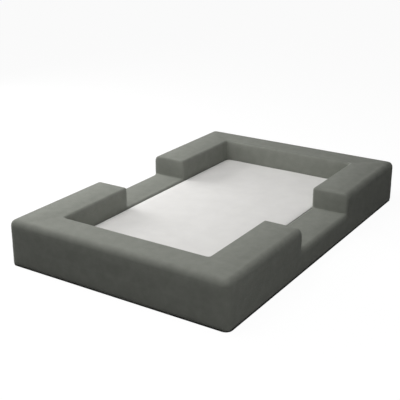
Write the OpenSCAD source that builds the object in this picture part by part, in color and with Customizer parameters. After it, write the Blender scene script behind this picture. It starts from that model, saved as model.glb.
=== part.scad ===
// Foam floor bed for a toddler: a soft surround with an entry gap in each long side,
// a zip-off cover over glued foam blocks, and a loose mattress in the well.
// Millimetres, +Z up, head end at +Y, origin under the middle of the base.

/* [Surround] */
// Overall length, head to foot
bed_length = 1610; // [1300:5:2000]
// Overall width
bed_width = 1066; // [850:2:1300]
// Height of the surround at its ends and corners
wall_height = 205; // [165:5:260]
// Thickness of the end walls
end_wall = 150; // [120:5:190]
// Thickness of the side walls
side_wall = 178; // [145:1:215]

/* [Entry gaps] */
// Length of the low stretch in each long side
entry_gap = 456; // [370:2:560]
// Height of that low stretch
sill_height = 108; // [88:1:130]

/* [Rounding] */
// Radius of the outer edges and corners
outer_round = 35; // [25:1:42]
// Radius of the top edge around the well
inner_round = 22; // [14:1:28]
// Radius of the outer top edge of each sill
sill_round = 24; // [16:1:30]
// Radius of the inner top edge of each sill
sill_inner_round = 12; // [8:1:15]
// Radius of the edge at the floor
base_round = 6; // [4:0.5:9]

/* [Cover] */
// Thickness of the cover fabric with its backing
cover_t = 1.6; // [1.2:0.1:2.2]
// Thickness of the non-slip base sheet
base_t = 2; // [1.4:0.1:3]
// Gap between a foam block and what lies on it
fit_gap = 0.3; // [0.2:0.05:0.5]

/* [Mattress] */
// Thickness of the mattress
mattress_t = 102; // [84:1:124]
// Gap between the mattress and the wall, all round
mattress_clear = 3; // [2:0.5:6]
// Radius of the mattress corners, seen from above
mattress_corner = 30; // [20:1:45]
// Radius of the mattress edges
mattress_edge = 12; // [8:1:15]
// Thickness of the mattress cover
ticking_t = 1.2; // [0.8:0.1:1.6]

/* [Cover zip] */
// Height of the zip above the floor
zip_height = 45; // [38:1:60]
// Distance from each end of the zip to the side of the bed
zip_margin = 80; // [60:1:110]
// Height of the slot that the slider runs in
zip_slot = 10; // [9.6:0.1:12]
// Depth of the padded welt that sinks the zip below the surface
welt_t = 3; // [3:0.1:4]
// Width of one coil row
coil_w = 2.5; // [2:0.1:2.6]
// Thickness of the coil rows
coil_t = 2.2; // [1.8:0.1:2.2]
// Length of the slider
slider_len = 12; // [9:0.5:14]
// Length of the pull tab
tab_len = 22; // [18:1:30]

/* [Mattress zip] */
// Height of the zip above the underside of the mattress
mattress_zip_height = 26; // [24:1:32]
// Distance from each end of the zip to the side of the mattress
mattress_zip_margin = 70; // [50:1:90]
// Height of the slot in the side band
mattress_zip_slot = 8; // [7.6:0.1:10]
// Width of one coil row
small_coil_w = 1.8; // [1.5:0.1:2]
// Thickness of the coil rows
small_coil_t = 1.6; // [1.3:0.1:1.8]
// Length of the slider, which has no tab
small_slider_len = 9; // [7:0.5:11]

/* [Hidden] */
$fn = 48;
cut = 1;                                     // how far a cutting block runs past a face
half_w = bed_width / 2;
half_l = bed_length / 2;
well_half_w = half_w - side_wall;
well_half_l = half_l - end_wall;
gap_half = entry_gap / 2;
foam_inset = cover_t + fit_gap;              // foam surface below the cover's surface
foam_z = base_t + fit_gap;                   // underside of the foam
panel_z = wall_height - outer_round;         // seam between side panels and top panels
sill_panel_z = sill_height - sill_round;     // the same seam along a sill
gap_cover = gap_half + cover_t;              // where a gap-end panel meets the panels behind it
gap_foam = gap_cover + fit_gap;              // end face of an arm's foam

tape_t = 0.8;                                // zip tape
tape_w = 10;                                 // width of one tape
rows_gap = 0.8;                              // slit between the coil rows
stop_len = 3;                                // end stop
run_gap = 0.3;                               // running clearance in the zips
plate_t = 1.2;                               // slider plate
small_plate_t = 0.8;                         // plate of the mattress zip's slider
zip_depth = cover_t + welt_t + tape_t / 2;   // middle of the tape below the cover's surface
zip_len = bed_width - 2 * zip_margin;
zip_place = [0, half_l - zip_depth, zip_height];
slider_x = zip_len / 2 - stop_len - slider_len / 2 - run_gap;
tab_t = 0.9;
tab_w = 7;
pin_r = 0.6;                                 // pin in the slider's bridge
eye_r = 1.1;                                 // eye of the tab
eye_w = 2.6;
ear_t = 0.8;
pin_y = coil_t / 2 + run_gap + plate_t + eye_r + 0.1;   // pin in front of the middle of the tape

mattress_w = 2 * (well_half_w - mattress_clear);
mattress_l = 2 * (well_half_l - mattress_clear);
mattress_z = base_t + fit_gap;
mattress_top = mattress_z + mattress_t;
band_z = [mattress_z + mattress_edge, mattress_top - mattress_edge];
core_inset = ticking_t + fit_gap;
small_tape_w = 8;
small_zip_depth = ticking_t + tape_t / 2;
small_zip_len = mattress_w - 2 * mattress_zip_margin;
small_zip_place = [0, mattress_l / 2 - small_zip_depth, mattress_z + mattress_zip_height];
small_slider_x = small_zip_len / 2 - stop_len - small_slider_len / 2 - run_gap;

cover_colour = "#84847f";
foam_colour = "#e9dfb8";
base_colour = "#3c3d3b";
ticking_colour = "#dcdad6";
tape_colour = "#6f706b";
metal_colour = "#a8a9ab";

// A block between two opposite corners
module block(low, high) {
    translate(low) cube(high - low);
}

// What is left outside a quarter circle in the corner of a square
module corner_waste(r) {
    difference() {
        translate([-cut, -cut]) square(r + cut);
        translate([r, r]) circle(r);
    }
}

// Section of a slab, standing on the X axis: square with rounded top and bottom corners
module slab_section(w, h, top_r, base_r) {
    difference() {
        translate([-w / 2, 0]) square([w, h]);
        for (side = [0, 1]) mirror([side, 0]) {
            translate([-w / 2, 0]) corner_waste(base_r);
            translate([-w / 2, h]) mirror([0, 1]) corner_waste(top_r);
        }
    }
}

// Slab with round corners in plan and rounded top and bottom edges
module soft_slab(w, l, h, corner_r, top_r, base_r) {
    rotate([90, 0, 0])
        translate([0, 0, corner_r - l / 2])
            linear_extrude(l - 2 * corner_r) slab_section(w, h, top_r, base_r);
    rotate([90, 0, 90])
        translate([0, 0, corner_r - w / 2])
            linear_extrude(w - 2 * corner_r) slab_section(l, h, top_r, base_r);
    for (x = [0, 1], y = [0, 1]) mirror([x, 0, 0]) mirror([0, y, 0])
        translate([w / 2 - corner_r, l / 2 - corner_r, 0])
            rotate_extrude(angle = 90) intersection() {
                slab_section(2 * corner_r, h, top_r, base_r);
                square([corner_r, h]);
            }
}

// Section of the well: a channel whose top edges flare out over the rounded rim
module well_section(half, h, rim_r) {
    translate([-half, -cut]) square([2 * half, h + 2 * cut]);
    for (side = [0, 1]) mirror([side, 0])
        translate([half, h - rim_r]) difference() {
            square([rim_r, rim_r + cut]);
            translate([rim_r, 0]) circle(rim_r);
        }
}

// The surround at one height all the way round, with its surface sunk by inset
module ring(h, edge_r, rim_r, inset) {
    difference() {
        soft_slab(bed_width - 2 * inset, bed_length - 2 * inset, h - inset,
                  outer_round - inset, edge_r - inset, base_round);
        intersection() {
            rotate([90, 0, 0]) linear_extrude(bed_length, center = true)
                well_section(well_half_w + inset, h - inset, rim_r - inset);
            rotate([90, 0, 90]) linear_extrude(bed_width, center = true)
                well_section(well_half_l + inset, h - inset, rim_r - inset);
        }
    }
}

module tall_ring(inset = 0) {
    ring(wall_height, outer_round, inner_round, inset);
}

module sill_ring(inset = 0) {
    ring(sill_height, sill_round, sill_inner_round, inset);
}

module tall_skin() {
    difference() {
        tall_ring();
        tall_ring(cover_t);
    }
}

module sill_skin() {
    difference() {
        sill_ring();
        sill_ring(cover_t);
    }
}

// Puts what is drawn on the right and at the head end where it is named to go
module at_corner(side, end) {
    mirror([side < 0 ? 1 : 0, 0, 0]) mirror([0, end < 0 ? 1 : 0, 0]) children();
}

// Foam blocks, glued to each other

module end_foam(end) {
    color(foam_colour) difference() {
        intersection() {
            at_corner(1, end) tall_ring(foam_inset);
            at_corner(1, end)
                block([-half_w, well_half_l, foam_z], [half_w, half_l, wall_height]);
        }
        if (end > 0) zip_groove();
    }
}

// Room in the foam for the welt and the slider
module zip_groove() {
    flange = tape_w + coil_w + rows_gap + run_gap;
    slider_room = coil_t / 2 + plate_t + 2 * run_gap;
    translate([0, half_l, zip_height]) {
        block([-zip_len / 2 - 2 * flange, -zip_depth - tape_t / 2 - fit_gap, -flange],
              [zip_len / 2 + 2 * flange, cut, flange]);
        block([-zip_len / 2, -zip_depth - slider_room, -zip_slot / 2],
              [zip_len / 2, cut, zip_slot / 2]);
    }
}

module arm_foam(side, end) {
    color(foam_colour) at_corner(side, end) intersection() {
        tall_ring(foam_inset);
        block([well_half_w, gap_foam, foam_z], [half_w, well_half_l, wall_height]);
    }
}

module sill_foam(side) {
    color(foam_colour) at_corner(side, 1) intersection() {
        sill_ring(foam_inset);
        block([well_half_w, -gap_foam, foam_z], [half_w, gap_foam, sill_height]);
    }
}

module head_end_foam() { end_foam(1); }
module foot_end_foam() { end_foam(-1); }
module left_head_arm_foam() { arm_foam(-1, 1); }
module left_foot_arm_foam() { arm_foam(-1, -1); }
module right_head_arm_foam() { arm_foam(1, 1); }
module right_foot_arm_foam() { arm_foam(1, -1); }
module left_sill_foam() { sill_foam(-1); }
module right_sill_foam() { sill_foam(1); }

// Cover panels, sewn edge to edge

module top_panel(end) {
    color(cover_colour) at_corner(1, end) intersection() {
        tall_skin();
        block([-half_w, gap_cover, panel_z], [half_w, half_l, wall_height]);
    }
}

module sill_panel(side) {
    color(cover_colour) at_corner(side, 1) intersection() {
        sill_skin();
        block([well_half_w, -gap_cover, sill_panel_z], [half_w, gap_cover, sill_height]);
    }
}

module outer_end_panel(end) {
    color(cover_colour) difference() {
        at_corner(1, end) intersection() {
            tall_skin();
            block([-half_w, half_l - outer_round, base_t], [half_w, half_l, panel_z]);
        }
        if (end > 0)
            translate([0, half_l, zip_height])
                block([-zip_len / 2, -2 * cover_t, -zip_slot / 2], [zip_len / 2, cut, zip_slot / 2]);
    }
}

// One long panel, low across the entry gap and high at both ends
module long_panel(from_x, to_x, reach) {
    for (end = [-1, 1]) at_corner(1, end) intersection() {
        tall_skin();
        block([from_x, gap_cover, base_t], [to_x, reach, panel_z]);
    }
    intersection() {
        sill_skin();
        block([from_x, -gap_cover, base_t], [to_x, gap_cover, sill_panel_z]);
    }
}

module outer_side_panel(side) {
    color(cover_colour) at_corner(side, 1)
        long_panel(half_w - outer_round, half_w, half_l - outer_round);
}

module inner_side_panel(side) {
    color(cover_colour) at_corner(side, 1)
        long_panel(well_half_w, well_half_w + outer_round, well_half_l);
}

module inner_end_panel(end) {
    color(cover_colour) at_corner(1, end) intersection() {
        tall_skin();
        block([-well_half_w - cover_t, well_half_l, base_t],
              [well_half_w + cover_t, well_half_l + cover_t, panel_z]);
    }
}

module gap_panel(side, end) {
    color(cover_colour) at_corner(side, end) difference() {
        intersection() {
            tall_ring();
            block([well_half_w, gap_half, base_t], [half_w, gap_cover, wall_height]);
        }
        sill_ring();
    }
}

module head_top_panel() { top_panel(1); }
module foot_top_panel() { top_panel(-1); }
module left_sill_panel() { sill_panel(-1); }
module right_sill_panel() { sill_panel(1); }
module head_outer_panel() { outer_end_panel(1); }
module foot_outer_panel() { outer_end_panel(-1); }
module left_outer_panel() { outer_side_panel(-1); }
module right_outer_panel() { outer_side_panel(1); }
module head_inner_panel() { inner_end_panel(1); }
module foot_inner_panel() { inner_end_panel(-1); }
module left_inner_panel() { inner_side_panel(-1); }
module right_inner_panel() { inner_side_panel(1); }
module left_head_gap_panel() { gap_panel(-1, 1); }
module left_foot_gap_panel() { gap_panel(-1, -1); }
module right_head_gap_panel() { gap_panel(1, 1); }
module right_foot_gap_panel() { gap_panel(1, -1); }

// Non-slip sheet under the whole bed, which the mattress lies on
module base_sheet() {
    color(base_colour) intersection() {
        soft_slab(bed_width, bed_length, wall_height, outer_round, outer_round, base_round);
        block([-half_w, -half_l, 0], [half_w, half_l, base_t]);
    }
}

// Zips: drawn about the middle of the tape, X along the zip, +Y out of the fabric

module zip_tapes(len, row_w, width) {
    row_edge = rows_gap / 2 + row_w;
    for (side = [0, 1]) mirror([0, 0, side])
        block([-len / 2 - stop_len, -tape_t / 2, row_edge],
              [len / 2 + stop_len, tape_t / 2, row_edge + width]);
}

module zip_coils(len, row_w, row_t) {
    for (side = [0, 1]) mirror([0, 0, side])
        block([stop_len - len / 2, -row_t / 2, rows_gap / 2],
              [len / 2 - stop_len, row_t / 2, rows_gap / 2 + row_w]);
}

module zip_stops(len, row_w, row_t) {
    for (end = [-1, 1]) translate([end * (len - stop_len) / 2, 0, 0])
        cube([stop_len, row_t, rows_gap + 2 * row_w], center = true);
}

// Two plates joined by a thin post that runs in the slit between the coil rows
module zip_slider(len, row_w, row_t, plate) {
    post_w = rows_gap - 2 * 0.15;
    width = 2 * row_w + rows_gap + 2 * plate;
    inside = row_t / 2 + run_gap;
    lip = inside - tape_t / 2 - run_gap;
    for (face = [0, 1]) mirror([0, face, 0]) {
        block([-len / 2, inside, -width / 2], [len / 2, inside + plate, width / 2]);
        for (side = [0, 1]) mirror([0, 0, side])
            block([-len / 2, inside - lip, width / 2 - plate + run_gap],
                  [len / 2, inside, width / 2]);
    }
    block([len / 2 - 3, -inside, -post_w / 2], [len / 2, inside, post_w / 2]);
}

module cover_zip_welt() {
    edge = coil_w + rows_gap / 2 + tape_w;
    color(cover_colour) translate([0, half_l, zip_height]) difference() {
        block([-zip_len / 2 - tape_w, -cover_t - welt_t, -edge], [zip_len / 2 + tape_w, -cover_t, edge]);
        block([-zip_len / 2, -half_l, -zip_slot / 2], [zip_len / 2, 0, zip_slot / 2]);
    }
}

module cover_zip_tapes() {
    color(tape_colour) translate(zip_place) zip_tapes(zip_len, coil_w, tape_w);
}

module cover_zip_coils() {
    color(tape_colour) translate(zip_place) zip_coils(zip_len, coil_w, coil_t);
}

module cover_zip_stops() {
    color(metal_colour) translate(zip_place) zip_stops(zip_len, coil_w, coil_t);
}

module cover_zip_slider() {
    ear_low = coil_t / 2 + run_gap + plate_t;
    color(metal_colour) translate(zip_place + [slider_x, 0, 0]) {
        zip_slider(slider_len, coil_w, coil_t, plate_t);
        for (side = [0, 1]) mirror([0, 0, side])
            block([-1.5, ear_low, eye_w / 2 + run_gap],
                  [1.5, pin_y + pin_r + 0.2, eye_w / 2 + run_gap + ear_t]);
        translate([0, pin_y, 0]) cylinder(h = eye_w + 2 * run_gap + ear_t, r = pin_r, center = true);
    }
}

// The tab lies back along the zip and swings on the bridge pin
module cover_zip_tab() {
    color(metal_colour) translate(zip_place + [slider_x, pin_y, 0]) difference() {
        union() {
            cylinder(h = eye_w, r = eye_r, center = true);
            block([-tab_len / 2, -tab_t / 2, -eye_w / 2], [0, tab_t / 2, eye_w / 2]);
            block([-tab_len, -tab_t / 2, -tab_w / 2], [-slider_len / 2, tab_t / 2, tab_w / 2]);
        }
        cylinder(h = eye_w + 2 * cut, r = pin_r + 0.1, center = true);
    }
}

// Mattress: foam core in a sewn cover with its own small zip at the head end

module mattress_form(inset = 0) {
    translate([0, 0, mattress_z + inset])
        soft_slab(mattress_w - 2 * inset, mattress_l - 2 * inset, mattress_t - 2 * inset,
                  mattress_corner - inset, mattress_edge - inset, mattress_edge - inset);
}

module ticking(low, high) {
    color(ticking_colour) intersection() {
        difference() {
            mattress_form();
            mattress_form(ticking_t);
        }
        block([-mattress_w / 2, -mattress_l / 2, low], [mattress_w / 2, mattress_l / 2, high]);
    }
}

module mattress_foam() {
    room = small_coil_w + rows_gap / 2 + small_tape_w + run_gap;
    depth = small_coil_t / 2 + small_plate_t + 2 * run_gap;
    color(foam_colour) difference() {
        mattress_form(core_inset);
        translate(small_zip_place) {
            block([-small_zip_len / 2 - small_tape_w, -tape_t / 2 - fit_gap, -room],
                  [small_zip_len / 2 + small_tape_w, small_zip_depth + cut, room]);
            block([-small_zip_len / 2, -depth, -mattress_zip_slot / 2],
                  [small_zip_len / 2, small_zip_depth + cut, mattress_zip_slot / 2]);
        }
    }
}

module mattress_top_panel() {
    ticking(band_z[1], mattress_top);
}

module mattress_side_band() {
    difference() {
        ticking(band_z[0], band_z[1]);
        translate(small_zip_place)
            block([-small_zip_len / 2, -small_zip_depth, -mattress_zip_slot / 2],
                  [small_zip_len / 2, small_zip_depth + cut, mattress_zip_slot / 2]);
    }
}

module mattress_bottom_panel() {
    ticking(mattress_z, band_z[0]);
}

module mattress_zip_tapes() {
    color(ticking_colour) translate(small_zip_place)
        zip_tapes(small_zip_len, small_coil_w, small_tape_w);
}

module mattress_zip_coils() {
    color(ticking_colour) translate(small_zip_place)
        zip_coils(small_zip_len, small_coil_w, small_coil_t);
}

module mattress_zip_stops() {
    color(metal_colour) translate(small_zip_place)
        zip_stops(small_zip_len, small_coil_w, small_coil_t);
}

module mattress_zip_slider() {
    color(metal_colour) translate(small_zip_place + [small_slider_x, 0, 0])
        zip_slider(small_slider_len, small_coil_w, small_coil_t, small_plate_t);
}

head_end_foam();
foot_end_foam();
left_head_arm_foam();
left_foot_arm_foam();
right_head_arm_foam();
right_foot_arm_foam();
left_sill_foam();
right_sill_foam();
head_top_panel();
foot_top_panel();
left_sill_panel();
right_sill_panel();
head_outer_panel();
foot_outer_panel();
left_outer_panel();
right_outer_panel();
head_inner_panel();
foot_inner_panel();
left_inner_panel();
right_inner_panel();
left_head_gap_panel();
left_foot_gap_panel();
right_head_gap_panel();
right_foot_gap_panel();
base_sheet();
cover_zip_welt();
cover_zip_tapes();
cover_zip_coils();
cover_zip_stops();
cover_zip_slider();
cover_zip_tab();
mattress_foam();
mattress_top_panel();
mattress_side_band();
mattress_bottom_panel();
mattress_zip_tapes();
mattress_zip_coils();
mattress_zip_stops();
mattress_zip_slider();
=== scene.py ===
import math
import bpy
import numpy as np
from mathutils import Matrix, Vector


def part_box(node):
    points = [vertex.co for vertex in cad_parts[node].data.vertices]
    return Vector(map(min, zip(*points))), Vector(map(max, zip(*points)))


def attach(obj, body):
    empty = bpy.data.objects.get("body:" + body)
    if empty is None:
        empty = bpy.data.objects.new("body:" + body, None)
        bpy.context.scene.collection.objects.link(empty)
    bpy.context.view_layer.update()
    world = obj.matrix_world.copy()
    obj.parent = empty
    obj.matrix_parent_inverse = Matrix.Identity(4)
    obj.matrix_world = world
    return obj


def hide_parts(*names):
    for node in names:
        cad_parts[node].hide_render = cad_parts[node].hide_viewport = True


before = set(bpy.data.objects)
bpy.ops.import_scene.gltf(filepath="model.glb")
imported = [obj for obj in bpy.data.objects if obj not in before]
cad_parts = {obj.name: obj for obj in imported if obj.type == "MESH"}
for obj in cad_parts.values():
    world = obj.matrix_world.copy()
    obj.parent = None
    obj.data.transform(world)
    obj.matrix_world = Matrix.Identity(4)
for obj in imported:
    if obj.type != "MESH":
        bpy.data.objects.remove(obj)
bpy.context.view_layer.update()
scene = bpy.context.scene
mm = 0.001


# camera and light

cameraSet = {
    "azimuth": 32.86,        # degrees, 0 looks along +Y
    "elevation": 20.84,
    "distance": 3.8023,      # from the origin, along the view
    "right": -0.0905,        # metres that the camera stands aside of the origin
    "up": 0.1333,
    "lens": 73.66,
}


def makeCamera(s):
    a, e = math.radians(s["azimuth"]), math.radians(s["elevation"])
    back = Vector((math.sin(a) * math.cos(e), -math.cos(a) * math.cos(e), math.sin(e)))
    right = Vector((math.cos(a), math.sin(a), 0))
    up = back.cross(right)
    data = bpy.data.cameras.new("bedCamera")
    data.lens = s["lens"]
    data.sensor_width = 36
    cam = bpy.data.objects.new("bedCamera", data)
    scene.collection.objects.link(cam)
    cam.location = right * s["right"] + up * s["up"] + back * s["distance"]
    cam.rotation_euler = (-back).to_track_quat("-Z", "Y").to_euler()
    scene.camera = cam


makeCamera(cameraSet)
print("camera placed")

lampSet = [
    # name, place, aimed at, size across and along, watts
    ("overBox", (0, -0.9, 3.0), (0, -0.9, 0), (2.4, 2.4), 39),
    ("leftBox", (-3.0, 0, 1.1), (0, 0, 0.1), (2.0, 1.5), 71),
    ("rightBox", (2.1, -2.1, 1.1), (0, 0, 0.1), (2.0, 1.5), 13),
    ("nearBox", (-1.45, -1.45, 2.45), (0, 0, 0.1), (2.0, 1.5), 11),
    ("lowBox", (-0.9, 0, 1.4), (-0.9, 0, 0), (1.6, 1.6), 7),
]


def makeLamp(name, place, aim, size, watts):
    data = bpy.data.lights.new(name, "AREA")
    data.shape = "RECTANGLE"
    data.size, data.size_y = size
    data.energy = watts
    lamp = bpy.data.objects.new(name, data)
    scene.collection.objects.link(lamp)
    lamp.location = place
    lamp.rotation_euler = (Vector(aim) - Vector(place)).to_track_quat("-Z", "Y").to_euler()


for row in lampSet:
    makeLamp(*row)


def seenByEye(nodes, links):
    # 1 for rays from the camera and for reflections, 0 for soft light
    path = nodes.new("ShaderNodeLightPath")
    either = nodes.new("ShaderNodeMath")
    either.operation = "MAXIMUM"
    links.new(path.outputs["Is Camera Ray"], either.inputs[0])
    links.new(path.outputs["Is Glossy Ray"], either.inputs[1])
    return either.outputs[0]


def makeWorld(soft):
    world = bpy.data.worlds.new("studio")
    scene.world = world
    world.use_nodes = True
    nodes, links = world.node_tree.nodes, world.node_tree.links
    nodes.clear()
    out = nodes.new("ShaderNodeOutputWorld")
    mix = nodes.new("ShaderNodeMixShader")
    dim, white = nodes.new("ShaderNodeBackground"), nodes.new("ShaderNodeBackground")
    dim.inputs["Color"].default_value = white.inputs["Color"].default_value = (1, 1, 1, 1)
    dim.inputs["Strength"].default_value = soft
    links.new(seenByEye(nodes, links), mix.inputs[0])
    links.new(dim.outputs[0], mix.inputs[1])
    links.new(white.outputs[0], mix.inputs[2])
    links.new(mix.outputs[0], out.inputs["Surface"])


makeWorld(0.05)
scene.view_settings.view_transform = "Standard"
print("lights placed")


# sizes read from the frame

bed = {
    "halfX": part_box("right_outer_panel")[1].x,
    "halfY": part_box("head_outer_panel")[1].y,
    "wellX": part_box("right_inner_panel")[0].x,
    "wellY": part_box("head_inner_panel")[0].y,
    "high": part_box("head_top_panel")[1].z,
    "low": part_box("left_sill_panel")[1].z,
    "gap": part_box("left_head_gap_panel")[0].y,
    "seam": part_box("head_outer_panel")[1].z,
    "sillSeam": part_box("left_sill_panel")[0].z,
    "base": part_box("base_sheet")[1].z,
}
form = {
    "corner": 28 * mm,       # vertical corners of the bed
    "edge": 29 * mm,         # outer top edges
    "rim": 11 * mm,          # top edge round the well
    "wellCorner": 9 * mm,    # vertical corners inside the well
    "sillEdge": 22 * mm,
    "sillRim": 10 * mm,
    "end": 9 * mm,          # edges of the arm ends in the gaps
    "crease": 4 * mm,        # fillet where an arm end meets the sill
    "foot": 5 * mm,          # edge at the floor
}


# shapes as signed distances: negative inside, zero on the surface

def roundMeet(a, b, r):
    # where both distances are negative, with the convex edge between them rounded to r
    return np.minimum(np.maximum(a, b), -r) + np.hypot(np.maximum(a + r, 0), np.maximum(b + r, 0))


def roundJoin(a, b, r):
    # where either distance is negative, with the hollow between them filled to r
    return np.maximum(np.minimum(a, b), r) - np.hypot(np.maximum(r - a, 0), np.maximum(r - b, 0))


def planBox(x, y, halfX, halfY, r):
    # rectangle with round corners: distance to the inner rectangle less r
    qx, qy = abs(x) - halfX + r, abs(y) - halfY + r
    return np.hypot(np.maximum(qx, 0), np.maximum(qy, 0)) + np.minimum(np.maximum(qx, qy), 0) - r


def surroundForm(p):
    # a tall ring kept outside the entry gaps and a low ring all round, joined with a soft crease
    x, y, z = p.T
    outer = planBox(x, y, bed["halfX"], bed["halfY"], form["corner"])
    inner = -planBox(x, y, bed["wellX"], bed["wellY"], form["wellCorner"])
    tall = np.maximum(roundMeet(outer, z - bed["high"], form["edge"]),
                      roundMeet(inner, z - bed["high"], form["rim"]))
    tall = roundMeet(tall, bed["gap"] - abs(y), form["end"])
    sill = np.maximum(roundMeet(outer, z - bed["low"], form["sillEdge"]),
                      roundMeet(inner, z - bed["low"], form["sillRim"]))
    deep = np.clip(-np.maximum(outer, inner) / (20 * mm), 0.02, 1)
    body = roundJoin(tall, sill, form["crease"] * deep)
    return roundMeet(body, bed["base"] - z, form["foot"])


def slopeOf(shape, p, step=0.2 * mm):
    # central differences along each axis
    g = np.empty_like(p)
    for axis in range(3):
        d = np.zeros(3)
        d[axis] = step
        g[:, axis] = (shape(p + d) - shape(p - d)) / (2 * step)
    return g


def settle(shape, p, times=3):
    # Newton's step: each point moves down the slope by its distance
    for _ in range(times):
        g = slopeOf(shape, p)
        p = p - g * (shape(p) / np.maximum((g * g).sum(1), 0.25))[:, None]
    return p


def relax(shape, p, edges, times):
    # each point goes half way to the mean of its neighbours, then back on to the surface
    count = np.bincount(edges.ravel(), minlength=len(p))[:, None]
    for _ in range(times):
        total = np.zeros_like(p)
        for axis in range(3):
            total[:, axis] = np.bincount(edges[:, 0], p[edges[:, 1], axis], len(p)) \
                + np.bincount(edges[:, 1], p[edges[:, 0], axis], len(p))
        p = settle(shape, 0.5 * p + 0.5 * total / count, 1)
    return settle(shape, p, 2)


def readPoints(mesh):
    p = np.empty(len(mesh.vertices) * 3)
    mesh.vertices.foreach_get("co", p)
    return p.reshape(-1, 3)


def readNormals(mesh):
    n = np.empty(len(mesh.vertices) * 3)
    mesh.vertices.foreach_get("normal", n)
    return n.reshape(-1, 3)


def readEdges(mesh):
    e = np.empty(len(mesh.edges) * 2, int)
    mesh.edges.foreach_get("vertices", e)
    return e.reshape(-1, 2)


def writePoints(mesh, p):
    mesh.vertices.foreach_set("co", p.ravel())
    mesh.update()


def newPiece(name, points, faces):
    mesh = bpy.data.meshes.new(name)
    mesh.from_pydata(np.asarray(points).tolist(), [], [list(f) for f in faces])
    mesh.update()
    mesh.polygons.foreach_set("use_smooth", [True] * len(mesh.polygons))
    piece = bpy.data.objects.new(name, mesh)
    scene.collection.objects.link(piece)
    return piece


boxFaces = np.array([(0, 1, 3, 2), (4, 6, 7, 5), (0, 4, 5, 1), (2, 3, 7, 6), (0, 2, 6, 4), (1, 5, 7, 3)])
boxCorners = np.array([(i, j, k) for i in (0, 1) for j in (0, 1) for k in (0, 1)])


def blocks(name, corners):
    # one closed block for each pair of opposite corners
    points = [np.where(boxCorners, high, low) for low, high in corners]
    faces = [boxFaces + 8 * number for number in range(len(corners))]
    return newPiece(name, np.concatenate(points), np.concatenate(faces).tolist())


def bake(piece):
    # the modifiers' result becomes the piece's own mesh
    mesh = bpy.data.meshes.new_from_object(piece.evaluated_get(bpy.context.evaluated_depsgraph_get()))
    piece.modifiers.clear()
    mesh.name = piece.name
    piece.data = mesh
    mesh.polygons.foreach_set("use_smooth", [True] * len(mesh.polygons))


def shapedPiece(name, corners, shape, voxel, rounds):
    # blocks remeshed to even quads, then settled on to the exact shape
    piece = blocks(name, corners)
    remesh = piece.modifiers.new("even", "REMESH")
    remesh.mode = "VOXEL"
    remesh.voxel_size = voxel
    bake(piece)
    p = settle(shape, readPoints(piece.data))
    writePoints(piece.data, relax(shape, p, readEdges(piece.data), rounds))
    return piece


def swell(piece, s, held, frames=20):
    # cloth under pressure from inside; each point then goes only along its normal, within the cap,
    # by a way that is evened out with its neighbours'
    before, normals, edges = readPoints(piece.data), readNormals(piece.data), readEdges(piece.data)
    fixed = held(before)
    pins = piece.vertex_groups.new(name="held")
    pins.add(np.flatnonzero(fixed).tolist(), 1.0, "REPLACE")
    cloth = piece.modifiers.new("swell", "CLOTH")
    cloth.collision_settings.use_collision = False
    cs = cloth.settings
    cs.quality = 4
    cs.mass = 0.3
    cs.tension_stiffness = cs.compression_stiffness = s["stretch"]
    cs.bending_stiffness = s["bend"]
    cs.use_pressure = True
    cs.uniform_pressure_force = s["pressure"]
    cs.vertex_group_mass = "held"
    cs.effector_weights.gravity = 0
    cloth.point_cache.frame_start, cloth.point_cache.frame_end = 1, frames
    scene.frame_start, scene.frame_end = 1, frames
    for number in range(1, frames + 1):
        scene.frame_set(number)
    after = np.empty(len(before) * 3)
    swelled = piece.evaluated_get(bpy.context.evaluated_depsgraph_get())
    swelled.data.vertices.foreach_get("co", after)
    piece.modifiers.clear()
    piece.vertex_groups.clear()
    scene.frame_set(1)
    way = ((after.reshape(-1, 3) - before) * normals).sum(1)
    way = np.where(way > 0, s["cap"] * np.tanh(way / s["cap"]), s["give"] * np.tanh(way / s["give"]))
    count = np.bincount(edges.ravel(), minlength=len(way))
    for _ in range(s["even"]):
        total = np.bincount(edges[:, 0], way[edges[:, 1]], len(way)) \
            + np.bincount(edges[:, 1], way[edges[:, 0]], len(way))
        way = np.where(fixed, 0, 0.5 * way + 0.5 * total / count)
    writePoints(piece.data, before + normals * way[:, None])
    print(piece.name, "swelled by mm", np.round(np.percentile(way, (5, 50, 95)) * 1000, 2))


def cutSlot(piece, low, high):
    # a box-shaped slot with crisp edges, cut out of a closed piece
    cutter = blocks("cutter", [(np.array(low), np.array(high))])
    cut = piece.modifiers.new("slot", "BOOLEAN")
    cut.operation = "DIFFERENCE"
    cut.solver = "EXACT"
    cut.object = cutter
    bake(piece)
    bpy.data.objects.remove(cutter)
    piece.data.set_sharp_from_angle(angle=math.radians(50))


def tube(name, path, out, radius, sides, closed):
    # a ring of the given radius at each point of the path, square to the path's own direction
    p, out = np.asarray(path), np.broadcast_to(out, np.shape(path))
    along = np.roll(p, -1, 0) - np.roll(p, 1, 0)
    if not closed:
        along[0], along[-1] = p[1] - p[0], p[-1] - p[-2]
    u = np.cross(along, out)
    u = u / np.linalg.norm(u, axis=1)[:, None]
    v = np.cross(along, u)
    v = v / np.linalg.norm(v, axis=1)[:, None]
    turn = np.arange(sides) * 2 * math.pi / sides
    ring = p[:, None] + radius * (np.cos(turn)[:, None] * u[:, None] + np.sin(turn)[:, None] * v[:, None])
    rows, n = len(p), sides
    i, j = np.meshgrid(np.arange(rows if closed else rows - 1), np.arange(n), indexing="ij")
    k, m = (i + 1) % rows, (j + 1) % n
    faces = np.stack([i * n + j, i * n + m, k * n + m, k * n + j], -1).reshape(-1, 4).tolist()
    if not closed:
        faces += [list(range(n))[::-1], list(range((rows - 1) * n, rows * n))]
    return ring.reshape(-1, 3), faces


def gather(name, parts):
    # several closed surfaces as one piece
    points, faces, count = [], [], 0
    for p, f in parts:
        points.append(p)
        faces += [[index + count for index in face] for face in f]
        count += len(p)
    return newPiece(name, np.concatenate(points), faces)


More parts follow.
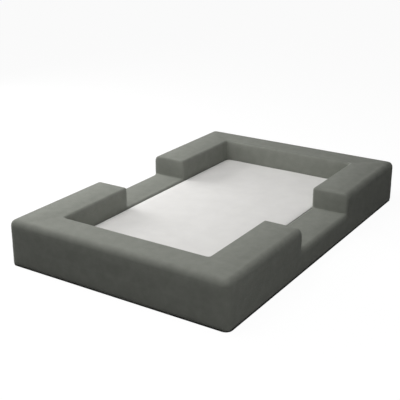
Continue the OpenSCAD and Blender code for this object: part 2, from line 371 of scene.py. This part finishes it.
def roundedPath(corners, radii, closed, step):
    # straight runs between corners, each corner an arc of its own radius, both in even steps
    c = np.asarray(corners, float)
    path = []
    for index in range(len(c)):
        here, back, on = c[index], c[index - 1], c[(index + 1) % len(c)]
        if not closed and index in (0, len(c) - 1):
            path.append(here[None])
            continue
        a, b = (back - here) / np.linalg.norm(back - here), (on - here) / np.linalg.norm(on - here)
        middle = here + radii[index] * (a + b)
        t = np.linspace(0, math.pi / 2, max(4, int(radii[index] / step) + 4))[:, None]
        path.append(middle - radii[index] * (b * np.cos(t) + a * np.sin(t)))
    path = np.concatenate(path + ([path[0][:1]] if closed else []))
    far = np.r_[0, np.cumsum(np.linalg.norm(np.diff(path, axis=0), axis=1))]
    even = np.linspace(0, far[-1], int(far[-1] / step) + 1)
    path = np.stack([np.interp(even, far, path[:, axis]) for axis in range(path.shape[1])], 1)
    return path[:-1] if closed else path


def onSurface(path, p, normals, reach):
    # each point of the path moves along the nearest point's normal until it is level with the surface
    near = np.empty(len(path), int)
    for start in range(0, len(path), 200):
        part = path[start:start + 200]
        near[start:start + 200] = ((part[:, None] - p[None]) ** 2).sum(2).argmin(1)
    gap = ((p[near] - path) * normals[near]).sum(1)
    gap = np.clip(gap, -reach, reach)
    return path + normals[near] * gap[:, None], normals[near]


# materials

def nodeSet(name):
    material = bpy.data.materials.new(name)
    material.use_nodes = True
    tree = material.node_tree
    return material, tree.nodes, tree.links, tree.nodes["Principled BSDF"]


def noise(nodes, links, scale, detail=3, rough=0.55, stretch=(1, 1, 1)):
    coord = nodes.new("ShaderNodeTexCoord")
    mapping = nodes.new("ShaderNodeMapping")
    mapping.inputs["Scale"].default_value = stretch
    tex = nodes.new("ShaderNodeTexNoise")
    tex.inputs["Scale"].default_value = scale
    tex.inputs["Detail"].default_value = detail
    tex.inputs["Roughness"].default_value = rough
    links.new(coord.outputs["Object"], mapping.inputs[0])
    links.new(mapping.outputs[0], tex.inputs["Vector"])
    return tex.outputs["Fac"]


def wave(nodes, links, scale, axis, slant=(0, 0, 0)):
    coord = nodes.new("ShaderNodeTexCoord")
    mapping = nodes.new("ShaderNodeMapping")
    mapping.inputs["Rotation"].default_value = slant
    tex = nodes.new("ShaderNodeTexWave")
    tex.bands_direction = axis
    tex.inputs["Scale"].default_value = scale
    links.new(coord.outputs["Object"], mapping.inputs[0])
    links.new(mapping.outputs[0], tex.inputs["Vector"])
    return tex.outputs["Fac"]


def sumOf(nodes, links, a, b, share):
    # a times its share, added to b
    add = nodes.new("ShaderNodeMath")
    add.operation = "MULTIPLY_ADD"
    links.new(a, add.inputs[0])
    add.inputs[1].default_value = share
    links.new(b, add.inputs[2])
    return add.outputs[0]


def tint(nodes, links, shader, factor, dark, light, spread=(0.3, 0.7)):
    ramp = nodes.new("ShaderNodeMapRange")
    ramp.inputs["From Min"].default_value, ramp.inputs["From Max"].default_value = spread
    mix = nodes.new("ShaderNodeMix")
    mix.data_type = "RGBA"
    links.new(factor, ramp.inputs["Value"])
    links.new(ramp.outputs[0], mix.inputs[0])
    mix.inputs[6].default_value = (*dark, 1)
    mix.inputs[7].default_value = (*light, 1)
    links.new(mix.outputs[2], shader.inputs["Base Color"])


def bumpFrom(nodes, links, shader, height, strength, distance):
    bump = nodes.new("ShaderNodeBump")
    bump.inputs["Strength"].default_value = strength
    bump.inputs["Distance"].default_value = distance
    links.new(height, bump.inputs["Height"])
    links.new(bump.outputs[0], shader.inputs["Normal"])


def makeCloth(name, s):
    # fine woven or brushed face: broad shade patches, fibre grain and a crossed weave in the bump
    material, nodes, links, shader = nodeSet(name)
    patches = noise(nodes, links, s["patch"], 4, 0.6)
    grain = noise(nodes, links, s["fibre"], 2, 0.7)
    tint(nodes, links, shader, sumOf(nodes, links, grain, patches, s["grainShare"]),
         s["dark"], s["light"], s["spread"])
    shader.inputs["Roughness"].default_value = s["rough"]
    shader.inputs["Specular IOR Level"].default_value = 0.15
    shader.inputs["Sheen Weight"].default_value = s["sheen"]
    shader.inputs["Sheen Roughness"].default_value = 0.5
    weave = sumOf(nodes, links, wave(nodes, links, s["weave"], "X"), wave(nodes, links, s["weave"], "Y"), 1)
    weave = sumOf(nodes, links, wave(nodes, links, s["weave"], "Z"), weave, 1)
    bumpFrom(nodes, links, shader, sumOf(nodes, links, grain, weave, s["nap"]), s["bump"], 0.25 * mm)
    return material


coverCloth = {
    "light": (0.240, 0.249, 0.220), "dark": (0.208, 0.216, 0.190), "spread": (0.55, 0.95),
    "patch": 24, "fibre": 1400, "grainShare": 0.5, "weave": 620, "nap": 4,
    "rough": 0.9, "sheen": 0.08, "bump": 0.25,
}
mattressCloth = {
    "light": (0.835, 0.825, 0.805), "dark": (0.79, 0.78, 0.76), "spread": (0.5, 0.9),
    "patch": 11, "fibre": 900, "grainShare": 0.4, "weave": 420, "nap": 1.5,
    "rough": 0.8, "sheen": 0.05, "bump": 0.2,
}
gripCloth = {
    "light": (0.055, 0.056, 0.053), "dark": (0.035, 0.036, 0.034), "spread": (0.4, 0.9),
    "patch": 30, "fibre": 900, "grainShare": 0.4, "weave": 200, "nap": 1,
    "rough": 0.75, "sheen": 0.05, "bump": 0.3,
}
coverMaterial = makeCloth("brushedCover", coverCloth)
mattressMaterial = makeCloth("paleTicking", mattressCloth)
gripMaterial = makeCloth("gripCloth", gripCloth)


def makeFoam(light, dark):
    # open cells: a fine Voronoi pattern pits the surface
    material, nodes, links, shader = nodeSet("openFoam")
    coord = nodes.new("ShaderNodeTexCoord")
    cells = nodes.new("ShaderNodeTexVoronoi")
    cells.inputs["Scale"].default_value = 450
    links.new(coord.outputs["Object"], cells.inputs["Vector"])
    tint(nodes, links, shader, noise(nodes, links, 18), dark, light)
    shader.inputs["Roughness"].default_value = 0.95
    bumpFrom(nodes, links, shader, cells.outputs["Distance"], 0.6, 0.8 * mm)
    return material


def makeTape(name, light, dark):
    # herringbone: two slanted wave patterns crossed
    material, nodes, links, shader = nodeSet(name)
    right = wave(nodes, links, 500, "X", (0, math.radians(35), 0))
    left = wave(nodes, links, 500, "X", (0, math.radians(-35), 0))
    both = sumOf(nodes, links, right, left, 1)
    tint(nodes, links, shader, both, dark, light, (0.2, 1.6))
    shader.inputs["Roughness"].default_value = 0.7
    bumpFrom(nodes, links, shader, both, 0.35, 0.2 * mm)
    return material


def makeMetal(colour):
    # satin zinc: fine scratches along the length change the roughness
    material, nodes, links, shader = nodeSet("satinZinc")
    scratches = noise(nodes, links, 900, 3, 0.6, (0.08, 1, 1))
    tint(nodes, links, shader, noise(nodes, links, 160), tuple(0.82 * c for c in colour), colour)
    rough = nodes.new("ShaderNodeMapRange")
    rough.inputs["To Min"].default_value, rough.inputs["To Max"].default_value = 0.28, 0.46
    links.new(scratches, rough.inputs["Value"])
    links.new(rough.outputs[0], shader.inputs["Roughness"])
    shader.inputs["Metallic"].default_value = 1
    bumpFrom(nodes, links, shader, scratches, 0.08, 0.1 * mm)
    return material


foamMaterial = makeFoam((0.82, 0.75, 0.54), (0.76, 0.68, 0.47))
coverTape = makeTape("coverTape", (0.125, 0.130, 0.114), (0.085, 0.089, 0.078))
mattressTape = makeTape("mattressTape", (0.66, 0.65, 0.63), (0.54, 0.53, 0.51))
metalMaterial = makeMetal((0.42, 0.42, 0.43))


def repaint(material, *names):
    # a CAD node keeps its shape and gets a better finish
    for name in names:
        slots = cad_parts[name].data.materials
        slots.clear()
        slots.append(material)


repaint(coverTape, "cover_zip_tapes")
repaint(mattressTape, "mattress_zip_tapes")
repaint(metalMaterial, "cover_zip_slider", "cover_zip_tab", "cover_zip_stops",
        "mattress_zip_slider", "mattress_zip_stops")
print("materials made")


# zips: where each stands, from its own CAD nodes

def zipPlace(name, slotHeight):
    tapeLow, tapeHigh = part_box(name + "_tapes")
    coilLow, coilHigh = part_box(name + "_coils")
    return {
        "y": (tapeLow.y + tapeHigh.y) / 2,
        "z": (tapeLow.z + tapeHigh.z) / 2,
        "half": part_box(name + "_stops")[1].x,
        "coilHalf": coilHigh.x,
        "coilTall": (coilHigh.z - coilLow.z) / 2,
        "coilThick": (coilHigh.y - coilLow.y) / 2,
        "slot": slotHeight / 2,
        "back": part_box(name + "_slider")[0].y - 0.6 * mm,
    }


coverZip = zipPlace("cover_zip", 10 * mm)
mattressZip = zipPlace("mattress_zip", 8 * mm)
coilSet = {
    "split": 0.4 * mm,       # from the middle of the zip to each row
    "thread": 0.42 * mm,     # radius of the coiled filament
    "pitch": 1.5 * mm,
    "perTurn": 8,
    "sides": 4,
}
lipSet = {
    "round": 2 * mm,         # corners of the slot
    "step": 1.2 * mm,
    "sides": 8,
}


def coilRows(name, z, s):
    # a helix along X for each row: the angle grows by one turn a pitch
    parts = []
    wide = (z["coilTall"] - s["split"]) / 2
    for side in (-1, 1):
        count = int(2 * z["coilHalf"] / s["pitch"] * s["perTurn"])
        x = np.linspace(-z["coilHalf"], z["coilHalf"], count) * 0.995
        turn = 2 * math.pi * x / s["pitch"] + (side > 0) * math.pi
        out = np.stack([0 * x, np.cos(turn), np.sin(turn)], 1)
        reach = np.array([0, z["coilThick"] - s["thread"], wide - s["thread"]])
        middle = np.stack([x, 0 * x + z["y"], 0 * x + z["z"] + side * (s["split"] + wide)], 1)
        parts.append(tube(name, middle + out * reach, out, s["thread"], s["sides"], False))
    return gather(name, parts)


def slotLips(name, z, face, radius, s):
    # a folded edge: a tube carried round the slot's outline
    halfX, halfZ = z["half"] + radius, z["slot"] + radius
    outline = roundedPath([(-halfX, -halfZ), (halfX, -halfZ), (halfX, halfZ), (-halfX, halfZ)],
                          [s["round"]] * 4, True, s["step"])
    path = np.stack([outline[:, 0], 0 * outline[:, 0] + face, outline[:, 1] + z["z"]], 1)
    return gather(name, [tube(name, path, (0, 1, 0), radius, s["sides"], True)])


def slotBox(z, radius, face):
    # the slot reaches from behind the slider out past the face
    halfX, halfZ = z["half"] + radius, z["slot"] + radius
    return (-halfX, z["back"], z["z"] - halfZ), (halfX, face + 20 * mm, z["z"] + halfZ)


def nearZip(p, z, face):
    # the cloth round a zip is held by its tapes
    return (abs(p[:, 0]) < z["half"] + 12 * mm) & (abs(p[:, 2] - z["z"]) < 16 * mm) \
        & (p[:, 1] > face - 12 * mm)


# surround cover

pad = {
    "voxel": 7 * mm,
    "rounds": 6,
    "inset": 1.6 * mm,       # the cover starts smaller by this much and swells back
    "pressure": 4,
    "stretch": 20,
    "bend": 3,
    "cap": 3 * mm,           # the most it swells
    "give": 0.6 * mm,        # the most it draws in
    "even": 14,
}
lip = 1.8 * mm


def surroundBlocks(inset):
    # head and foot ends across the bed, four arms and two sills
    hx, hy = bed["halfX"] - inset, bed["halfY"] - inset
    wx, wy = bed["wellX"] + inset, bed["wellY"] + inset
    z0, low, high = bed["base"] + inset, bed["low"] - inset, bed["high"] - inset
    gap = bed["gap"] + inset
    made = {}
    for side, sx in (("left", -1), ("right", 1)):
        xs = sorted((sx * wx, sx * hx))
        made[side + "_sill"] = ((xs[0], -gap, z0), (xs[1], gap, low))
        for end, ey in (("head", 1), ("foot", -1)):
            ys = sorted((ey * gap, ey * wy))
            made[side + "_" + end + "_arm"] = ((xs[0], ys[0], z0), (xs[1], ys[1], high))
    for end, ey in (("head", 1), ("foot", -1)):
        ys = sorted((ey * wy, ey * hy))
        made[end + "_end"] = ((-hx, ys[0], z0), (hx, ys[1], high))
    return {name: (np.array(low), np.array(high)) for name, (low, high) in made.items()}


cover = shapedPiece("surroundCover", list(surroundBlocks(pad["inset"]).values()),
                    lambda p: surroundForm(p) + pad["inset"], pad["voxel"], pad["rounds"])
swell(cover, pad, lambda p: (p[:, 2] < 10 * mm) | nearZip(p, coverZip, bed["halfY"]))
coverPoints, coverNormals = readPoints(cover.data), readNormals(cover.data)
cutSlot(cover, *slotBox(coverZip, lip, bed["halfY"]))
cover.data.materials.append(coverMaterial)
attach(cover, "surround")
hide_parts(*[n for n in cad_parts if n.endswith("_panel") and not n.startswith("mattress")])
print("cover", len(cover.data.polygons), "faces")


# seams of the cover, a fine ridge where panels are sewn together

seamSet = {
    "radius": 0.75 * mm,
    "sunk": 0.35 * mm,
    "step": 6 * mm,
    "sides": 6,
    "reach": 6 * mm,
}


def seamTube(path, closed, points, normals, s):
    laid, out = onSurface(path, points, normals, s["reach"])
    return tube("seam", laid - out * s["sunk"], out, s["radius"], s["sides"], closed)


def level(outline, z):
    return np.column_stack([outline, np.full(len(outline), z)])


def coverSeams(s):
    hx, hy, wx, wy, gap = (bed[k] for k in ("halfX", "halfY", "wellX", "wellY", "gap"))
    parts = []
    for end in (-1, 1):
        corners = [(-hx, end * gap), (-hx, end * hy), (hx, end * hy), (hx, end * gap),
                   (wx, end * gap), (wx, end * wy), (-wx, end * wy), (-wx, end * gap)]
        radii = [form[k] for k in ("end", "corner", "corner", "end", "end", "wellCorner", "wellCorner", "end")]
        parts.append(seamTube(level(roundedPath(corners, radii, True, s["step"]), bed["seam"]),
                              True, coverPoints, coverNormals, s))
        for side in (-1, 1):
            sink = form["corner"] * (1 - math.sqrt(0.5))
            z = np.arange(bed["base"] + 3 * mm, bed["seam"], s["step"])
            post = np.column_stack([0 * z + side * (hx - sink), 0 * z + end * (hy - sink), z])
            parts.append(seamTube(post, False, coverPoints, coverNormals, s))
    for side in (-1, 1):
        for x in (hx, wx):
            y = np.arange(-gap + 6 * mm, gap - 5 * mm, s["step"])
            parts.append(seamTube(np.column_stack([0 * y + side * x, y, 0 * y + bed["sillSeam"]]),
                                  False, coverPoints, coverNormals, s))
    return gather("coverSeams", parts)


seams = coverSeams(seamSet)
seams.data.materials.append(coverMaterial)
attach(seams, "surround")

coverLips = slotLips("coverZipLips", coverZip, bed["halfY"] - lip, lip, lipSet)
coverLips.data.materials.append(coverMaterial)
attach(coverLips, "surround")
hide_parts("cover_zip_welt")

coverCoils = coilRows("coverZipCoils", coverZip, coilSet)
coverCoils.data.materials.append(coverTape)
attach(coverCoils, "surround")
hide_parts("cover_zip_coils")
print("cover sewn")


# foam blocks inside the cover

foamSet = {
    "inset": 10 * mm,        # under the cover's face, behind the zip
    "joint": 0.2 * mm,       # glue line between blocks
    "voxel": 18 * mm,
    "edge": 3 * mm,
}


def foamShape(low, high, s):
    # the surround's own shape, drawn in, met with the block's end planes
    middle, half = (low + high) / 2, (high - low) / 2 - s["joint"]

    def shape(p):
        q = abs(p - middle) - half
        return roundMeet(surroundForm(p) + s["inset"], np.maximum(q[:, 0], q[:, 1]), s["edge"])
    return shape


def foamBlocks(s):
    wide = 100 * mm          # faces that lie under the cover are cut by the shape alone
    for name, (low, high) in surroundBlocks(0).items():
        cutLow, cutHigh = low.copy(), high.copy()
        cutLow[0], cutHigh[0] = cutLow[0] - wide, cutHigh[0] + wide
        if name == "foot_end":
            cutLow[1] -= wide
        if name == "head_end":
            cutHigh[1] += wide
        first, *others = name.split("_")
        block = shapedPiece(first + "".join(word.title() for word in others) + "Foam",
                            [(low + s["joint"], high - s["joint"])], foamShape(cutLow, cutHigh, s),
                            s["voxel"], 4)
        block.data.materials.append(foamMaterial)
        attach(block, "surround")
        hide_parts(name + "_foam")


foamBlocks(foamSet)
print("foam set in")


# base sheet with grip dots

gripSet = {
    "thick": 1.4 * mm,
    "dot": 3 * mm,
    "pitch": 25 * mm,
    "margin": 30 * mm,
    "step": 5 * mm,
    "sides": 8,
}


def gripSheet(s):
    # a plate inside the bed's outline, and under it a square field of low domes
    low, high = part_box("base_sheet")
    halfX, halfY, top = high.x, high.y, high.z
    r = form["corner"]
    outline = roundedPath([(-halfX, -halfY), (halfX, -halfY), (halfX, halfY), (-halfX, halfY)],
                          [r] * 4, True, s["step"])
    rows = [level(outline, top - s["thick"]), level(outline, top)]
    n = len(outline)
    i = np.arange(n)
    faces = np.stack([i, (i + 1) % n, (i + 1) % n + n, i + n], 1).tolist()
    faces += [list(range(n))[::-1], list(range(n, 2 * n))]
    plate = (np.concatenate(rows), faces)
    turn = np.arange(s["sides"]) * 2 * math.pi / s["sides"]
    drop = top - s["thick"]
    levels = [(1, 0.2 * mm), (0.8, -0.7 * drop)]
    dome = np.concatenate([np.column_stack([f * s["dot"] * np.cos(turn), f * s["dot"] * np.sin(turn),
                                            0 * turn + drop + d]) for f, d in levels] + [[(0, 0, 0)]])
    k = np.arange(s["sides"])
    on = (k + 1) % s["sides"]
    m = s["sides"]
    sideFaces = np.stack([k, k + m, on + m, on], 1)
    tipFaces = np.stack([k + m, 0 * k + 2 * m, on + m], 1)
    xs = np.arange(-halfX + s["margin"], halfX - s["margin"], s["pitch"])
    ys = np.arange(-halfY + s["margin"], halfY - s["margin"], s["pitch"])
    places = np.stack(np.meshgrid(xs - xs.mean(), ys - ys.mean(), [0], indexing="ij"), -1).reshape(-1, 3)
    points = (places[:, None] + dome[None]).reshape(-1, 3)
    shift = np.arange(len(places))[:, None, None] * len(dome)
    dots = (sideFaces + shift).reshape(-1, 4).tolist() + (tipFaces + shift).reshape(-1, 3).tolist()
    dots += (k[None, None] + shift).reshape(-1, m).tolist()
    return gather("baseSheet", [plate, (points, dots)])


base = gripSheet(gripSet)
base.data.set_sharp_from_angle(angle=math.radians(40))
base.data.materials.append(gripMaterial)
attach(base, "surround")
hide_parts("base_sheet")
print("base", len(base.data.polygons), "faces")


# mattress

mattress = {
    "halfX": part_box("mattress_side_band")[1].x,
    "halfY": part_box("mattress_side_band")[1].y,
    "low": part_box("mattress_bottom_panel")[0].z,
    "high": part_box("mattress_top_panel")[1].z,
    "seamLow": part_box("mattress_side_band")[0].z,
    "seamHigh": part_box("mattress_side_band")[1].z,
    "corner": 30 * mm,
    "edge": 9 * mm,
    "voxel": 8 * mm,
    "inset": 1.2 * mm,
    "pressure": 4,
    "stretch": 20,
    "bend": 3,
    "cap": 2.5 * mm,
    "give": 0.5 * mm,
    "even": 14,
    "wave": 0.5 * mm,
}
mattressLip = 1.2 * mm


def mattressForm(p):
    # a rectangle with round corners in plan, with rounded edges at the top and bottom
    x, y, z = p.T
    plan = planBox(x, y, mattress["halfX"], mattress["halfY"], mattress["corner"])
    return roundMeet(roundMeet(plan, z - mattress["high"], mattress["edge"]),
                     mattress["low"] - z, mattress["edge"])


def mattressBlock(inset):
    return [(np.array((-mattress["halfX"] + inset, -mattress["halfY"] + inset, mattress["low"] + inset)),
             np.array((mattress["halfX"] - inset, mattress["halfY"] - inset, mattress["high"] - inset)))]


def softDips(p, deep):
    # slow waves of three lengths, only on the top face
    x, y = p[:, 0], p[:, 1]
    waves = np.sin(9 * x + 4 * y) + np.sin(14 * y - 6 * x + 1) + 0.6 * np.sin(23 * x + 17 * y + 2)
    onTop = np.clip((p[:, 2] - mattress["high"] + mattress["edge"]) / mattress["edge"], 0, 1)
    return np.column_stack([0 * x, 0 * x, deep * waves * onTop])


bedding = shapedPiece("mattressCover", mattressBlock(mattress["inset"]),
                      lambda p: mattressForm(p) + mattress["inset"] * (p[:, 2] > 20 * mm),
                      mattress["voxel"], 5)
swell(bedding, mattress, lambda p: (p[:, 2] < mattress["seamLow"]) | nearZip(p, mattressZip, mattress["halfY"]))
writePoints(bedding.data, readPoints(bedding.data) + softDips(readPoints(bedding.data), mattress["wave"]))
beddingPoints, beddingNormals = readPoints(bedding.data), readNormals(bedding.data)
cutSlot(bedding, *slotBox(mattressZip, mattressLip, mattress["halfY"]))
bedding.data.materials.append(mattressMaterial)
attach(bedding, "mattress")
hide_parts("mattress_top_panel", "mattress_side_band", "mattress_bottom_panel")

core = shapedPiece("mattressCore", mattressBlock(5 * mm), lambda p: mattressForm(p) + 5 * mm, 20 * mm, 4)
core.data.materials.append(foamMaterial)
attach(core, "mattress")
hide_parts("mattress_foam")

mattressOutline = roundedPath([(sx * mattress["halfX"], sy * mattress["halfY"])
                               for sx, sy in ((-1, -1), (1, -1), (1, 1), (-1, 1))],
                              [mattress["corner"]] * 4, True, seamSet["step"])
piping = gather("mattressSeams", [seamTube(level(mattressOutline, mattress[k]), True,
                                           beddingPoints, beddingNormals, seamSet)
                                  for k in ("seamLow", "seamHigh")])
piping.data.materials.append(mattressMaterial)
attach(piping, "mattress")

mattressLips = slotLips("mattressZipLips", mattressZip, mattress["halfY"] - mattressLip, mattressLip, lipSet)
mattressLips.data.materials.append(mattressMaterial)
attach(mattressLips, "mattress")

mattressCoils = coilRows("mattressZipCoils", mattressZip, {**coilSet, "pitch": 1.3 * mm, "thread": 0.35 * mm})
mattressCoils.data.materials.append(mattressTape)
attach(mattressCoils, "mattress")
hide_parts("mattress_zip_coils")
print("mattress", len(bedding.data.polygons), "faces")


# floor

floorSet = {
    "half": 30,
    "bounce": (0.2, 0.2, 0.2, 1),     # for light thrown back at the bed
    "shade": (0.09, 0.09, 0.09, 1),   # for the shadow that is seen
    "glow": 0.95,
}


def makeFloor(s):
    h = s["half"]
    floor = newPiece("floor", [(-h, -h, 0), (h, -h, 0), (h, h, 0), (-h, h, 0)], [(0, 1, 2, 3)])
    material, nodes, links, shader = nodeSet("paleFloor")
    shader.inputs["Base Color"].default_value = s["bounce"]
    shader.inputs["Roughness"].default_value = 1
    shader.inputs["Specular IOR Level"].default_value = 0
    shade = nodes.new("ShaderNodeBsdfDiffuse")
    shade.inputs["Color"].default_value = s["shade"]
    glow = nodes.new("ShaderNodeEmission")
    glow.inputs["Strength"].default_value = s["glow"]
    both, mix = nodes.new("ShaderNodeAddShader"), nodes.new("ShaderNodeMixShader")
    links.new(shade.outputs[0], both.inputs[0])
    links.new(glow.outputs[0], both.inputs[1])
    links.new(seenByEye(nodes, links), mix.inputs[0])
    links.new(shader.outputs[0], mix.inputs[1])
    links.new(both.outputs[0], mix.inputs[2])
    links.new(mix.outputs[0], nodes["Material Output"].inputs["Surface"])
    floor.data.materials.append(material)


makeFloor(floorSet)
